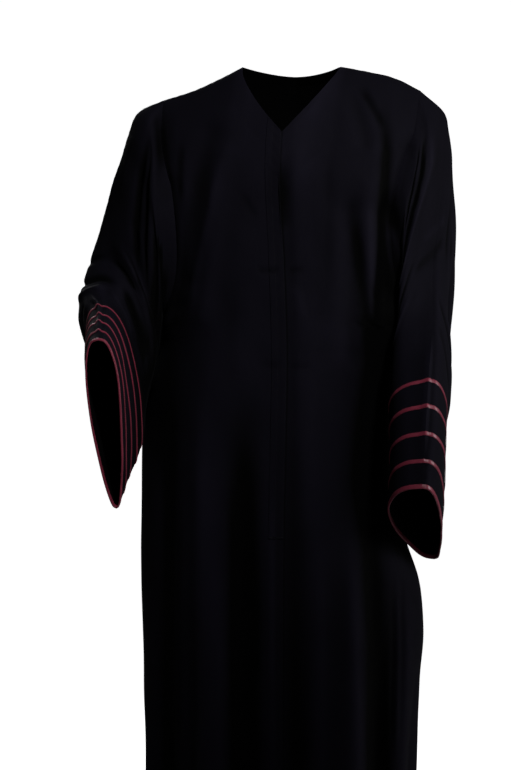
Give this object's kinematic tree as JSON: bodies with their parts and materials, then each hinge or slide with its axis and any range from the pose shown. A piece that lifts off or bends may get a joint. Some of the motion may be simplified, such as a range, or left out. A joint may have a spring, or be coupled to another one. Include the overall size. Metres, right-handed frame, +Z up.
{
  "type": "abaya",
  "caption": "Long loose robe with a V neck, a lapped front with a hidden closing and wide straight sleeves trimmed with narrow tapes, in its hollow worn form.",
  "frame": {"origin": "midway between the two points where the neck edge meets the shoulder seams, where the wearer's neck and shoulders carry the robe", "axes": "+Z up, the front faces -Y, +X is the wearer's left"},
  "size_m": [0.6023, 0.466, 1.4301],
  "materials": {
    "crape": "matte",
    "wine_satin": "satin"
  },
  "bodies": {
    "root": {"back": "crape", "front_left": "crape", "front_right": "crape", "placket": "crape", "sleeve_right_front": "crape", "sleeve_right_back": "crape", "sleeve_left_front": "crape", "sleeve_left_back": "crape", "tape_right_front_1": "wine_satin", "tape_right_front_2": "wine_satin", "tape_right_front_3": "wine_satin", "tape_right_front_4": "wine_satin", "tape_right_back_1": "wine_satin", "tape_right_back_2": "wine_satin", "tape_right_back_3": "wine_satin", "tape_right_back_4": "wine_satin", "tape_left_front_1": "wine_satin", "tape_left_front_2": "wine_satin", "tape_left_front_3": "wine_satin", "tape_left_front_4": "wine_satin", "tape_left_back_1": "wine_satin", "tape_left_back_2": "wine_satin", "tape_left_back_3": "wine_satin", "tape_left_back_4": "wine_satin", "binding_right_front": "wine_satin", "binding_right_back": "wine_satin", "binding_left_front": "wine_satin", "binding_left_back": "wine_satin"}
  },
  "joints": []
}
